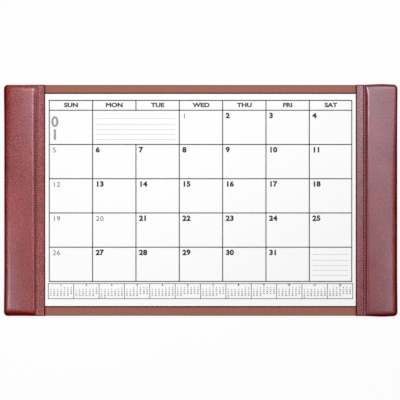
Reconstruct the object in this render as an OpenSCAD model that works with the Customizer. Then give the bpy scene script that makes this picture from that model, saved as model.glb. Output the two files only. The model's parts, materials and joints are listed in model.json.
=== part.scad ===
// Desk pad with padded leather side rails and a tear-off monthly calendar insert.
// Millimetres. +X runs to the user's right, +Y away from the user, +Z up.
// The origin is the middle of the felt's underside, where the pad rests on a desk.

/* [Overall] */
// Width across both side rails
pad_w = 863.6; // [700:0.1:1000]
// Depth from the front edge to the back edge
pad_d = 508; // [400:0.1:640]
// Radius of the four outer corners in plan
corner_r = 9; // [5:0.5:20]

/* [Base] */
// Thickness of the felt underneath
felt_t = 1; // [0.5:0.1:3]
// Step from the outer edge in to the felt's edge
felt_inset = 0.6; // [0.2:0.1:3]
// Thickness of the hardboard
board_t = 3; // [2:0.1:6]
// Thickness of the leatherette over the hardboard
cover_t = 0.8; // [0.4:0.1:1.5]

/* [Side rails] */
// Width of one rail, flap included
rail_w = 88.9; // [75:0.1:120]
// Thickness of the leather
leather_t = 1.2; // [0.8:0.1:2]
// Thickness of the lining under the rail
lining_t = 0.8; // [0.5:0.1:1.5]
// Thickness of the stiffening board in the rail
core_t = 2; // [1:0.1:4]
// Height of the foam at the middle of the rail
foam_h = 6; // [4:0.1:12]
// Height of the crown over the width of the padding
crown_h = 1.2; // [0.5:0.1:3]
// Radius of the padding's shoulder towards the outside
shoulder_out_r = 7; // [5:0.1:8]
// Radius of the padding's shoulder towards the calendar
shoulder_in_r = 6; // [4:0.1:8]
// Radius of the padding's shoulder at the front and back
shoulder_end_r = 6; // [4:0.1:8]
// Width of the sewn gutter between the flap's crease and the padding
gutter_w = 5.2; // [4:0.1:10]

/* [Flaps] */
// Width of the flap from its inner edge to its crease
flap_w = 15; // [10:0.1:25]
// Width of the leather folded back under the flap's inner edge
hem_w = 6; // [3:0.1:8]
// Gap round the flap's rolled crease
hinge_gap = 0.15; // [0.1:0.01:0.3]
// Step from the crease's axis back to the edge of the gutter
hinge_relief = 0.6; // [0.5:0.05:0.8]

/* [Stitching] */
// Distance from one stitch to the next
stitch_pitch = 5.5; // [4:0.1:8]
// Length of one stitch
stitch_l = 4.1; // [2:0.1:4.5]
// Diameter of the thread
thread_d = 1; // [0.5:0.1:1.5]
// Distance from the seam to the foot of the padding
seam_to_padding = 1.9; // [1.5:0.1:3]
// Bare length at each end of the seam
seam_margin = 16; // [8:0.5:40]

/* [Calendar insert] */
// Length of the sheets tucked under each rail
tuck = 38.1; // [25:0.1:44]
// Gap from the insert's side to the packing strip
tuck_gap = 1.5; // [0.5:0.1:3]
// Bare border in front of and behind the sheets
border = 21.15; // [12:0.05:40]
// Distance that the sheets lie behind the middle of the pad
insert_shift = 0.9; // [-2:0.1:2]
// Thickness of one sheet
sheet_t = 0.15; // [0.1:0.01:0.3]
// Air between two sheets
sheet_gap = 0.02; // [0.01:0.01:0.05]
// Thickness of the board under the sheets
backing_t = 0.8; // [0.4:0.1:1.5]
// Ledge of the board that shows in front of and behind the sheets
backing_ledge = 2.9; // [0.8:0.1:5]
// Thickness of the gum that binds the sheets' back edge
gum_t = 0.5; // [0.2:0.1:0.7]
// Gap from the top sheet up to the rail and the flap
slot_gap = 0.3; // [0.2:0.05:1]

/* [Hidden] */
MONTHS = ["january", "february", "march", "april", "may", "june",
          "july", "august", "september", "october", "november", "december"];
RAIL_PARTS = ["packing_strip", "rail_lining", "rail_core", "rail_foam", "rail_leather",
              "rail_stitching", "flap_lining", "flap_leather"];
SIDES = [["left", -1], ["right", 1]];

$fn = 96;
crown_fn = 720;
// Length by which a cut runs past the face that it opens
cut = 1;

// Levels, from the desk up
z_board = felt_t;
z_cover = z_board + board_t;
z_slot = z_cover + cover_t;
sheet_step = sheet_t + sheet_gap;
z_sheets = z_slot + backing_t;
z_sheets_top = z_sheets + len(MONTHS) * sheet_step;
z_ceiling = z_sheets_top + slot_gap;
z_core = z_ceiling + lining_t;
z_gutter = z_core + leather_t;
z_foam = z_core + core_t;
z_top = z_foam + foam_h + leather_t;

// Places across the right-hand rail, from the calendar out
x_edge = pad_w / 2;
x_inside = x_edge - leather_t;
x_flap = x_edge - rail_w;
x_crease = x_flap + flap_w;
x_padding = x_crease + gutter_w;
x_seam = x_padding - seam_to_padding;
x_sheet = x_flap + tuck;
x_packing = x_sheet + tuck_gap;

// Sizes that follow from the levels and places
y_edge = pad_d / 2;
y_inside = y_edge - leather_t;
sheet_d = pad_d - 2 * border;
flap_t = lining_t + leather_t;
crease_r = flap_t / 2;
z_crease = z_ceiling + crease_r;
padding_w = x_edge - x_padding;
crown_r = (pow(padding_w / 2, 2) + pow(crown_h, 2)) / (2 * crown_h);
seam_l = pad_d - 2 * seam_margin;
stitch_count = floor((seam_l - stitch_l) / stitch_pitch) + 1;

leather_colour = "#7A2A2E";
lining_colour = "#5A2326";
board_colour = "#8A7458";

// Mirrors a right-hand piece to the left where side is -1.
module on_side(side) {
    if (side < 0) mirror([1, 0, 0]) children();
    else children();
}

// Sweeps a section drawn in X and Z along Y, centred.
module along_y(length) {
    rotate([90, 0, 0]) linear_extrude(length, center = true) children();
}

// Sweeps a section drawn in Y and Z along X, from x_from to x_to.
module along_x(x_from, x_to) {
    translate([x_from, 0, 0]) rotate([90, 0, 90]) linear_extrude(x_to - x_from) children();
}

// A rectangle from one corner to the opposite one.
module corners(low, high) {
    translate(low) square(high - low);
}

// A box from one corner to the opposite one.
module block(low, high) {
    translate(low) cube(high - low);
}

// The pad's outline in plan, stepped in by inset.
module outline(inset) {
    w = pad_w - 2 * inset;
    d = pad_d - 2 * inset;
    r = corner_r - inset;
    square([w - 2 * r, d], center = true);
    square([w, d - 2 * r], center = true);
    for (x = [-1, 1], y = [-1, 1]) translate([x * (w / 2 - r), y * (d / 2 - r)]) circle(r);
}

// A block with two rounded shoulders, from low to high.
module shouldered(low, high, r_low, r_high) {
    corners([low[0] + r_low, low[1]], [high[0] - r_high, high[1]]);
    corners(low, [low[0] + r_low, high[1] - r_low]);
    corners([high[0] - r_high, low[1]], [high[0], high[1] - r_high]);
    translate([low[0] + r_low, high[1] - r_low]) circle(r_low);
    translate([high[0] - r_high, high[1] - r_high]) circle(r_high);
}

// Section across the padding: two shoulders under a shallow crown.
module padding_section(inset, z_low) {
    intersection() {
        shouldered([x_padding + inset, z_low], [x_edge - inset, z_top - inset],
                   shoulder_in_r - inset, shoulder_out_r - inset);
        translate([x_edge - padding_w / 2, z_top - crown_r]) circle(crown_r - inset, $fn = crown_fn);
    }
}

// The padded rail down to z_low, stepped in by inset on its top, sides and ends.
module padding_form(inset, z_low) {
    intersection() {
        along_y(pad_d) padding_section(inset, z_low);
        along_x(0, pad_w) shouldered([-y_edge + inset, z_low], [y_edge - inset, z_top],
                                     shoulder_end_r - inset, shoulder_end_r - inset);
        translate([0, 0, z_low]) linear_extrude(z_top - z_low) outline(inset);
    }
}

// A flat piece of the rail that fills the inside of the leather from x_from out.
module rail_layer(x_from, z_from, z_to) {
    intersection() {
        block([x_from, -y_edge, z_from], [x_edge, y_edge, z_to]);
        translate([0, 0, z_from]) linear_extrude(z_to - z_from) outline(leather_t);
    }
}

// The round groove that the flap's rolled crease turns in.
module crease_groove() {
    translate([x_crease, 0, z_crease]) rotate([90, 0, 0])
        cylinder(r = crease_r + hinge_gap, h = pad_d + 2 * cut, center = true);
}

// Felt that keeps the pad from scratching the desk.
module felt_backing() {
    color("#3B2A26") linear_extrude(felt_t) outline(felt_inset);
}

// Hardboard that carries everything else.
module base_board() {
    color(board_colour) translate([0, 0, z_board]) linear_extrude(board_t) outline(leather_t);
}

// Leatherette between the rails, turned down over the board's front and back edges.
module base_cover() {
    color("#A66C5E") along_x(-x_packing, x_packing) difference() {
        y_out = y_inside + cover_t;
        shouldered([-y_out, z_board], [y_out, z_slot], cover_t, cover_t);
        corners([-y_inside, z_board - cut], [y_inside, z_cover]);
    }
}

// Strip that holds the rail up off the base and stops the insert sideways.
module packing_strip(side) {
    color(board_colour) on_side(side) rail_layer(x_packing, z_cover, z_ceiling);
}

// Cloth on the underside of the rail.
module rail_lining(side) {
    color(lining_colour) on_side(side) difference() {
        rail_layer(x_crease + hinge_relief, z_ceiling, z_core);
        crease_groove();
    }
}

// Board that stiffens the rail under its foam.
module rail_core(side) {
    color(board_colour) on_side(side) rail_layer(x_padding + leather_t, z_core, z_foam);
}

// Crowned foam that the leather is drawn over.
module rail_foam(side) {
    color("#D8CFA8") on_side(side) padding_form(leather_t, z_foam);
}

// One hide over the foam, down the outer side and ends, and flat along the sewn gutter.
module rail_leather(side) {
    color(leather_colour) on_side(side) difference() {
        union() {
            padding_form(0, z_board);
            block([x_crease + hinge_relief, -y_edge, z_ceiling], [x_padding + leather_t, y_edge, z_gutter]);
        }
        padding_form(leather_t, z_board - cut);
        block([x_crease - cut, -y_inside, z_ceiling - cut], [x_padding + leather_t + cut, y_inside, z_core]);
        block([0, -y_edge - cut, z_board - cut], [x_packing, y_edge + cut, z_ceiling]);
        crease_groove();
    }
}

// Half-round stitches that lie on the gutter.
module rail_stitching(side) {
    color("#4A1518") on_side(side) for (i = [0 : stitch_count - 1])
        translate([x_seam, (i - (stitch_count - 1) / 2) * stitch_pitch, z_gutter])
            along_y(stitch_l) intersection() {
                circle(d = thread_d);
                translate([-thread_d, 0]) square([2 * thread_d, thread_d]);
            }
}

// Section of the flap: flat, with a rolled inner edge and a rolled crease.
module flap_section() {
    corners([x_flap + crease_r, z_ceiling], [x_crease, z_ceiling + flap_t]);
    for (x = [x_flap + crease_r, x_crease]) translate([x, z_crease]) circle(crease_r);
}

// Where the lining lies under the flap: inside the hem, the crease and the turned ends.
module flap_pocket(z_low) {
    along_y(2 * y_inside)
        corners([x_flap + hem_w, z_low], [x_crease - crease_r, z_ceiling + lining_t]);
}

// Cloth on the underside of the flap.
module flap_lining(side) {
    color(lining_colour) on_side(side) flap_pocket(z_ceiling);
}

// Leather lip that lifts at its crease to let the sheets in and out.
module flap_leather(side) {
    color(leather_colour) on_side(side) difference() {
        along_y(pad_d) flap_section();
        flap_pocket(z_ceiling - cut);
    }
}

// A flat piece of the insert, as wide as the sheets, grown by ledge in front and behind.
module insert_layer(z_from, thickness, ledge) {
    translate([0, insert_shift, z_from + thickness / 2])
        cube([2 * x_sheet, sheet_d + 2 * ledge, thickness], center = true);
}

// Dark board that the sheets are gummed to.
module calendar_backing() {
    color("#4A2320") insert_layer(z_slot, backing_t, backing_ledge);
}

// Film of gum along the back edge of the sheets.
module calendar_gum_strip() {
    y_back = insert_shift + sheet_d / 2;
    color("#7A3A34") block([-x_sheet, y_back, z_sheets], [x_sheet, y_back + gum_t, z_sheets_top]);
}

// The sheet of one month, the first month on top.
module month_sheet(month) {
    level = len(MONTHS) - 1 - month;
    color("white") insert_layer(z_sheets + level * sheet_step + sheet_gap, sheet_t, 0);
}

felt_backing();
base_board();
base_cover();
calendar_backing();
calendar_gum_strip();
for (side = SIDES) {
    packing_strip(side[1]);
    rail_lining(side[1]);
    rail_core(side[1]);
    rail_foam(side[1]);
    rail_leather(side[1]);
    rail_stitching(side[1]);
    flap_lining(side[1]);
    flap_leather(side[1]);
}
for (month = [0 : len(MONTHS) - 1])
    month_sheet(month);
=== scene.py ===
# %% [markdown]
# # A desk pad calendar with padded leather rails
# This lesson dresses a large desk pad: a felt-backed board with a padded leather rail along each side,
# and a pad of calendar sheets tucked under the rails' lips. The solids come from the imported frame, in
# metres, with +X to the user's right, +Y away from the user and +Z up. Nothing is moved or resized
# here: every new piece is worked out from the boxes of the solids that it dresses.

# %% Load the frame
import json
import math

import bmesh
import bpy
import numpy as np
from mathutils import Matrix, Vector, noise


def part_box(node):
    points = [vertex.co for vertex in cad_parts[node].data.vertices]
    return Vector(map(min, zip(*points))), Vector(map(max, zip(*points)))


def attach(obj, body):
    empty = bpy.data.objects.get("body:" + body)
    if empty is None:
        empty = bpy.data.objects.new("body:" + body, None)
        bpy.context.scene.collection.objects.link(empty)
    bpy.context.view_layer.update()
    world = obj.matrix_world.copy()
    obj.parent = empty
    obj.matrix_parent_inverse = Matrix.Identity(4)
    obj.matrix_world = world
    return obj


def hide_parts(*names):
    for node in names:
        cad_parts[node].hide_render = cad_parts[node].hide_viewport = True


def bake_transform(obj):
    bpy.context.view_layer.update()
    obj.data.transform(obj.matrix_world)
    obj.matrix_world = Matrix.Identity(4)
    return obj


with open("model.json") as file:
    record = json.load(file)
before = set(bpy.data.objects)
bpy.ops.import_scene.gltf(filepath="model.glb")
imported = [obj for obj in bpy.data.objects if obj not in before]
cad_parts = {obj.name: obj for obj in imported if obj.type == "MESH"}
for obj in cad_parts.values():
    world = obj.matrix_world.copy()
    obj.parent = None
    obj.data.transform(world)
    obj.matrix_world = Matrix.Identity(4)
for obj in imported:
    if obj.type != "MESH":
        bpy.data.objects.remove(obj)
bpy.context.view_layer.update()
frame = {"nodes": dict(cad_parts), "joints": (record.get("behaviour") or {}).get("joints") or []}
MM = 0.001
SIDES = {"left": -1, "right": 1}
MONTHS = ["january", "february", "march", "april", "may", "june",
          "july", "august", "september", "october", "november", "december"]
print("pieces in the frame:", len(frame["nodes"]))

# %% [markdown]
# ## The sizes that the looks depend on
# A rail is read once, on the right-hand side, and mirrored for the left. The leather's own thickness is
# the step from its outer face to the stiffening board inside it, and the flap's crease lies on the axis
# of the flap's joint.

# %% Measure the right-hand rail
joints = {joint["name"]: joint for joint in frame["joints"]}
rail_low, rail_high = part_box("right_rail_leather")
flap_low, flap_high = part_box("right_flap_leather")
core_low, core_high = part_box("right_rail_core")
foam_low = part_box("right_rail_foam")[0]
seam_low, seam_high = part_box("right_rail_stitching")

x_edge, y_edge, z_top = rail_high
z_bottom = rail_low.z
leather_t = x_edge - core_high.x
x_padding = core_low.x - leather_t
x_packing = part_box("right_packing_strip")[0].x
x_crease = joints["right_flap_lift"]["pos_m"][0]
x_flap = flap_low.x
x_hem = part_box("right_flap_lining")[0].x
x_seam = (seam_low.x + seam_high.x) / 2
z_under = flap_low.z
z_gutter = flap_high.z
flap_t = z_gutter - z_under
print("rail from", round(x_flap / MM, 1), "to", round(x_edge / MM, 1), "mm, top at", round(z_top / MM, 1))

# %% [markdown]
# ## The camera
# The picture is a straight top view with hardly any perspective, so a long lens looks down from high
# above. The picture's scale gives the lens, and the pixel where the pad's middle lies gives the camera's
# place.

# %% Set up the camera
PICTURE_PX = 400
PICTURE_MM_PER_PX = 2.2
PAD_MIDDLE_PX = (200.7, 200.4)
CAMERA_HEIGHT = 4.9
SENSOR_MM = 36

picture_w = PICTURE_PX * PICTURE_MM_PER_PX * MM
camera_x = (PICTURE_PX / 2 - PAD_MIDDLE_PX[0]) * PICTURE_MM_PER_PX * MM
camera_y = (PAD_MIDDLE_PX[1] - PICTURE_PX / 2) * PICTURE_MM_PER_PX * MM
bpy.ops.object.camera_add(location=(camera_x, camera_y, CAMERA_HEIGHT), rotation=(0, 0, 0))
camera = bpy.context.object
camera.data.sensor_width = SENSOR_MM
camera.data.lens = SENSOR_MM * CAMERA_HEIGHT / picture_w
bpy.context.scene.camera = camera
bpy.context.scene.view_settings.view_transform = "Standard"
print("lens", round(camera.data.lens, 1), "mm")

# %% [markdown]
# ## Colour and nodes
# Colours are written as sRGB hex values, as a paint program shows them, and Blender's sockets want linear
# light. Every material below is built with one small function that adds a node, sets it and links it.

# %% Helpers for colours and nodes
def linear(colour):
    """The linear RGBA of an sRGB hex colour such as #8A2A2E."""
    parts = [int(colour[i:i + 2], 16) / 255 for i in (1, 3, 5)]
    return [p / 12.92 if p <= 0.04045 else ((p + 0.055) / 1.055) ** 2.4 for p in parts] + [1.0]


def add_node(tree, kind, props=None, values=None, links=None):
    """Adds a node, sets its properties and input values, and links sockets to its inputs."""
    node = tree.nodes.new(kind)
    for name, value in (props or {}).items():
        setattr(node, name, value)
    for name, value in (values or {}).items():
        node.inputs[name].default_value = value
    for name, source in (links or {}).items():
        tree.links.new(source, node.inputs[name])
    return node


def new_material(name):
    """An empty node material, and its tree."""
    material = bpy.data.materials.new(name)
    material.use_nodes = True
    material.node_tree.nodes.clear()
    return material, material.node_tree


def finish_material(tree, values, links):
    """Adds the shader and the output at the end of a tree."""
    shader = add_node(tree, "ShaderNodeBsdfPrincipled", values=values, links=links)
    add_node(tree, "ShaderNodeOutputMaterial", links={"Surface": shader.outputs["BSDF"]})


# %% [markdown]
# ## Floor and background
# The background is plain white. The floor is a pale plane that shines white to the camera and in
# reflections, by the Light Path node, and keeps a share of its own shading so that the pad still casts a
# soft shadow on it.

# %% Floor and world
FLOOR_SIZE = 12.0
FLOOR_DROP = 0.2 * MM
SHADOW_SHARE = 0.15
FLOOR_WHITE = "#F7F7F7"

bpy.ops.mesh.primitive_plane_add(size=FLOOR_SIZE, location=(0, 0, -FLOOR_DROP))
floor = bpy.context.object
floor.name = "studio_floor"
floor_paint, tree = new_material("white_studio_floor")
path = add_node(tree, "ShaderNodeLightPath")
seen = add_node(tree, "ShaderNodeMath", {"operation": "MAXIMUM"},
                links={0: path.outputs["Is Camera Ray"], 1: path.outputs["Is Glossy Ray"]})
seen = add_node(tree, "ShaderNodeMath", {"operation": "MAXIMUM"},
                links={0: seen.outputs[0], 1: path.outputs["Is Transmission Ray"]})
share = add_node(tree, "ShaderNodeMath", {"operation": "MULTIPLY"}, {1: 1 - SHADOW_SHARE},
                 {0: seen.outputs[0]})
matte = add_node(tree, "ShaderNodeBsdfDiffuse", values={"Color": linear(FLOOR_WHITE)})
white = add_node(tree, "ShaderNodeEmission", values={"Color": linear("#FFFFFF"), "Strength": 1.0})
mixed = add_node(tree, "ShaderNodeMixShader",
                 links={0: share.outputs[0], 1: matte.outputs[0], 2: white.outputs[0]})
add_node(tree, "ShaderNodeOutputMaterial", links={"Surface": mixed.outputs[0]})
floor.data.materials.append(floor_paint)

ROOM_LIGHT = 0.09
world = bpy.data.worlds.new("studio_room")
bpy.context.scene.world = world
world.use_nodes = True
tree = world.node_tree
tree.nodes.clear()
path = add_node(tree, "ShaderNodeLightPath")
strength = add_node(tree, "ShaderNodeMapRange", values={"To Min": ROOM_LIGHT, "To Max": 1.0},
                    links={"Value": path.outputs["Is Camera Ray"]})
background = add_node(tree, "ShaderNodeBackground", values={"Color": linear("#FFFFFF")},
                      links={"Strength": strength.outputs[0]})
add_node(tree, "ShaderNodeOutputWorld", links={"Surface": background.outputs[0]})
print("floor at", -FLOOR_DROP / MM, "mm")

# %% [markdown]
# ## Studio light
# Two wide bars behind the pad lay a milky haze on the leather's flat tops and leave the slopes that face
# the front in deep red. A weak fill in front opens those slopes again. The rails catch the light
# differently: the right one has two softboxes of its own, and a strip over the middle lights the left
# one's inner shoulder. A small strip by each rail's front end lights the outer shoulder there.

# %% Lamps
def softbox(name, place, aim, size, power):
    """A rectangular area lamp at a place, turned towards aim, that the camera doesn't see."""
    turn = (Vector(aim) - Vector(place)).to_track_quat("-Z", "Y").to_euler()
    bpy.ops.object.light_add(type="AREA", location=place, rotation=turn)
    lamp = bpy.context.object
    lamp.name = name
    lamp.data.shape = "RECTANGLE"
    lamp.data.size, lamp.data.size_y = size
    lamp.data.energy = power
    lamp.visible_camera = False


softbox("back_low", (0.2, 1.9, 1.9), (0, 0.2, 0), (2.2, 0.3), 6.5)
softbox("back_bar", (0.1, 0.95, 2.2), (0, 0.2, 0), (1.5, 0.25), 10.5)
softbox("front_fill", (0, -1.6, 2.2), (0, -0.2, 0), (2.0, 0.6), 9.5)
softbox("right_haze", (0.62, 0.48, 2.2), (0.3, 0.1, 0), (0.4, 1.0), 7)
softbox("right_low", (1.20, 0.65, 1.5), (0, 0.1, 0), (1.0, 0.8), 3.5)
softbox("centre_strip", (-0.12, 0.45, 1.6), (0, 0.35, 0), (0.15, 0.6), 6.5)
softbox("left_front_strip", (-0.87, -0.33, 1.2), (-0.3, -0.2, 0), (0.25, 0.4), 5.0)
softbox("right_front_strip", (0.95, -0.28, 2.0), (0.3, -0.15, 0), (0.2, 0.4), 4)

# %% [markdown]
# ## Leather for the rails
# The rails are covered in top-grain cowhide, drum-dyed burgundy and waxed by hand. The dye is deep red,
# and the wax adds a soft, broad sheen, so flat faces that look at the light turn greyish pink. Up close
# the hide shows a fine pebble, and from a step away soft mottling where the wax sits thicker. A number on
# each of the hide's points, written further on, says where painted shade darkens the edges, the crease and
# the foot of the padding to a deep red without shine.

# %% Burgundy leather
CLOUD_MM = 45
GRAIN_MM = 2.2  # real grain is about 1 mm, drawn coarser to show from a step away
PEBBLE_MM = 2.2
MOTTLE = (0.37, 0.67)  # levels of the mottling that take the deep and the pale dye
DRIFT = 0.035  # how far the clouds shift those levels
# Painted shade: the deep red that the hide's edges, crease and padding foot are darkened to.
PAINTED_EDGE_SHADE = {"left": "#620304", "right": "#5C0304"}
DYES = {"left": ("#5E110E", "#B4433A"), "right": ("#4A0D0C", "#A43A3A")}
SHEENS = {"left": "#EAEEFF", "right": "#E8F0FF"}
SHINES = {"left": 0.9, "right": 1.0}
GLOSSES = {"left": (0.27, 0.41), "right": (0.40, 0.28)}


def burgundy_leather(side):
    """The leather of one rail. Each rail has its own dye, the right one darker."""
    material, tree = new_material(f"waxed_burgundy_leather_{side}")
    deep, pale = DYES[side]
    place = add_node(tree, "ShaderNodeTexCoord").outputs["Object"]
    clouds = add_node(tree, "ShaderNodeTexNoise", values={"Scale": 1 / (CLOUD_MM * MM), "Detail": 3.0},
                      links={"Vector": place})
    mottle = add_node(tree, "ShaderNodeTexNoise", values={"Scale": 1 / (GRAIN_MM * MM), "Detail": 2.0},
                      links={"Vector": place})
    pebble = add_node(tree, "ShaderNodeTexVoronoi",
                      values={"Scale": 1 / (PEBBLE_MM * MM), "Randomness": 0.9}, links={"Vector": place})
    drift = add_node(tree, "ShaderNodeMapRange",
                     values={"From Min": 0.3, "From Max": 0.7, "To Min": -DRIFT, "To Max": DRIFT},
                     links={"Value": clouds.outputs["Fac"]})
    level = add_node(tree, "ShaderNodeMath", {"operation": "ADD"},
                     links={0: mottle.outputs["Fac"], 1: drift.outputs[0]})
    spread = add_node(tree, "ShaderNodeMapRange", values={"From Min": MOTTLE[0], "From Max": MOTTLE[1]},
                      links={"Value": level.outputs[0]})
    dye = add_node(tree, "ShaderNodeMix", {"data_type": "RGBA"}, {6: linear(deep), 7: linear(pale)},
                   {0: spread.outputs[0]})
    # Painted shade: where a point's number is above zero, the dye turns towards that deep red and loses its
    # shine.
    edge = add_node(tree, "ShaderNodeAttribute", {"attribute_name": "burnish"})
    tone = add_node(tree, "ShaderNodeMix", {"data_type": "RGBA"}, {7: linear(PAINTED_EDGE_SHADE[side])},
                    {0: edge.outputs["Fac"], 6: dye.outputs[2]})
    gloss = add_node(tree, "ShaderNodeMapRange",
                     values={"From Min": 0.3, "From Max": 0.7,
                             "To Min": GLOSSES[side][0], "To Max": GLOSSES[side][1]},
                     links={"Value": mottle.outputs["Fac"]})
    matt = add_node(tree, "ShaderNodeMath", {"operation": "MULTIPLY_ADD"}, {1: 0.3},
                    {0: edge.outputs["Fac"], 2: gloss.outputs[0]})
    dents = add_node(tree, "ShaderNodeBump", values={"Strength": 0.3, "Distance": 0.3 * MM},
                     links={"Height": mottle.outputs["Fac"]})
    grain = add_node(tree, "ShaderNodeBump", values={"Strength": 0.2, "Distance": 0.3 * MM},
                     links={"Height": pebble.outputs["Distance"], "Normal": dents.outputs["Normal"]})
    shine = add_node(tree, "ShaderNodeMapRange",
                     values={"From Max": 0.65, "To Min": SHINES[side], "To Max": 0.0},
                     links={"Value": edge.outputs["Fac"]})
    finish_material(tree, {"IOR": 1.5, "Specular Tint": linear(SHEENS[side])},
                    {"Base Color": tone.outputs[2], "Roughness": matt.outputs[0],
                     "Specular IOR Level": shine.outputs[0], "Normal": grain.outputs["Normal"]})
    return material


leathers = {side: burgundy_leather(side) for side in SIDES}
print("leather for", len(leathers), "hides")

# %% [markdown]
# ## Modelling helpers
# Operators act on what is selected, so each step starts with nothing selected and then picks vertices,
# edges or faces by their place. The one shape that comes up again is a block whose edges along one axis
# are cut at chosen stops, so that lines lie close together only where the form bends.

# %% Selecting, dividing and rounding
NEAR = 0.01 * MM


def edit(piece, kind):
    """Opens a piece in edit mode with nothing selected."""
    bpy.ops.object.select_all(action="DESELECT")
    piece.select_set(True)
    bpy.context.view_layer.objects.active = piece
    bpy.ops.object.mode_set(mode="EDIT")
    bpy.ops.mesh.select_mode(type=kind)
    bpy.ops.mesh.select_all(action="DESELECT")


def pick(piece, kind, test):
    """Selects the verts, edges or faces of the piece in edit mode that pass a test."""
    bpy.ops.mesh.select_all(action="DESELECT")
    shape = bmesh.from_edit_mesh(piece.data)
    for element in getattr(shape, kind):
        if test(element):
            element.select_set(True)
    bmesh.update_edit_mesh(piece.data)


def block(name, low, high):
    """A box from one corner to the other, with its place in its mesh."""
    low, high = Vector(low), Vector(high)
    bpy.ops.object.select_all(action="DESELECT")
    bpy.ops.mesh.primitive_cube_add(size=1, location=(low + high) / 2, scale=high - low)
    bpy.ops.object.transform_apply(location=True, rotation=True, scale=True)
    piece = bpy.context.object
    piece.name = piece.data.name = name
    return piece


def divide(piece, axis, stops):
    """Cuts the edges that run from the first stop to the last along an axis, at the stops between."""
    ends = sorted((stops[0], stops[-1]))

    def spans(edge):
        reach = sorted(vert.co[axis] for vert in edge.verts)
        return abs(reach[0] - ends[0]) < NEAR and abs(reach[1] - ends[1]) < NEAR

    cells = len(stops) - 1
    pick(piece, "edges", spans)
    bpy.ops.mesh.subdivide(number_cuts=cells - 1)
    shape = bmesh.from_edit_mesh(piece.data)
    for vert in shape.verts:
        share = (vert.co[axis] - stops[0]) / (stops[-1] - stops[0]) * cells
        if NEAR < share < cells - NEAR:
            vert.co[axis] = stops[round(share)]
    bmesh.update_edit_mesh(piece.data)


def read_points(piece):
    """The vertices of a piece as an array."""
    points = np.empty(len(piece.data.vertices) * 3)
    piece.data.vertices.foreach_get("co", points)
    return points.reshape(-1, 3)


def write_points(piece, points):
    """Puts an array of vertices back into a piece."""
    piece.data.vertices.foreach_set("co", points.ravel())
    piece.data.update()


def rounded(points, low, high, reach_low, reach_high):
    """Draws a box's edges in: the square zone within reach of each edge becomes a round one."""
    centre = np.clip(points, low + reach_low, high - reach_high)
    reach = np.maximum(np.where(points < centre, reach_low, reach_high), 1e-9)
    offset = np.abs((points - centre) / reach)
    length = np.maximum(np.linalg.norm(offset, axis=1, keepdims=True), 1e-9)
    longest = np.max(offset, axis=1, keepdims=True)
    return centre + (points - centre) * longest / length


def smooth_step(value, start, end):
    """0 before start, 1 after end, and a smooth rise between."""
    share = np.clip((value - start) / (end - start), 0, 1)
    return share * share * (3 - 2 * share)


def apply_modifier(piece, kind, **settings):
    """Adds a modifier with its settings and applies it."""
    bpy.ops.object.select_all(action="DESELECT")
    piece.select_set(True)
    bpy.context.view_layer.objects.active = piece
    bpy.ops.object.modifier_add(type=kind)
    modifier = piece.modifiers[-1]
    for name, value in settings.items():
        setattr(modifier, name, value)
    bpy.ops.object.modifier_apply(modifier=modifier.name)


# %% [markdown]
# ## The leather hide of a rail
# One hide covers a rail: up the outer side, over the crowned foam and both ends, down to the sewn gutter,
# and on into the flat flap, whose inner edge is folded under. It could be swept along the rail, but then
# the ends would have to be closed by hand. Here an L-shaped block is extruded from a cube, the faces where
# there is no leather are deleted, and its edges are rounded by moving points, which closes the ends too.

# %% Rough out the hide
STITCH_PITCH = 5.5 * MM
END_ZONE = 18 * MM
END_CELLS = 8  # with 84 stitches between the ends that is 99 cuts, and the operator makes 100 at most
CREASE_ZONE = 2.4 * MM
SHOULDER_TOP = 7.5 * MM
CORNER_R = 9.0 * MM
# Widths of the shoulders. Two values are the width at the front and at the back of the rail.
SHOULDER_IN = {"left": 1.2 * MM, "right": 2.6 * MM}
SHOULDER_OUT = {"left": (14.0 * MM, 17.0 * MM), "right": (15.0 * MM, 6.5 * MM)}
SHOULDER_END = {"left": (16.0 * MM, 12.0 * MM), "right": (12.0 * MM, 8.0 * MM)}
ROLL_W = {"left": 7.2 * MM, "right": 8.0 * MM}


def spaced(start, end, cells):
    """Evenly spaced stops from start to end."""
    return list(np.linspace(start, end, cells + 1))


def rough_hide(name):
    """The right-hand hide as a block with square edges, open where there is no leather."""
    piece = block(name, (x_padding, -y_edge, z_bottom), (x_edge, y_edge, z_top))
    edit(piece, "EDGE")
    divide(piece, 2, [z_bottom, z_under, z_gutter, z_top])
    divide(piece, 0, [x_padding, x_packing, x_edge])
    bpy.ops.mesh.select_mode(type="FACE")

    def flap_side(face):
        middle = face.calc_center_median()
        return middle.x < x_padding + NEAR and z_under < middle.z < z_gutter

    pick(piece, "faces", flap_side)
    for x_from, x_to in ((x_padding, x_crease), (x_crease, x_hem), (x_hem, x_flap)):
        bpy.ops.mesh.extrude_region_move(TRANSFORM_OT_translate={"value": (x_to - x_from, 0, 0)})

    def bare(face):
        middle = face.calc_center_median()
        underside = middle.z < z_bottom + NEAR
        slot_wall = abs(middle.x - x_padding) < NEAR and middle.z < z_under
        slot_end = middle.x < x_packing and middle.z < z_under - NEAR
        lining = x_hem < middle.x < x_padding and abs(middle.z - z_under) < NEAR
        return underside or slot_wall or slot_end or lining

    pick(piece, "faces", bare)
    bpy.ops.mesh.delete(type="FACE")
    bpy.ops.mesh.select_mode(type="EDGE")
    return piece


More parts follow.
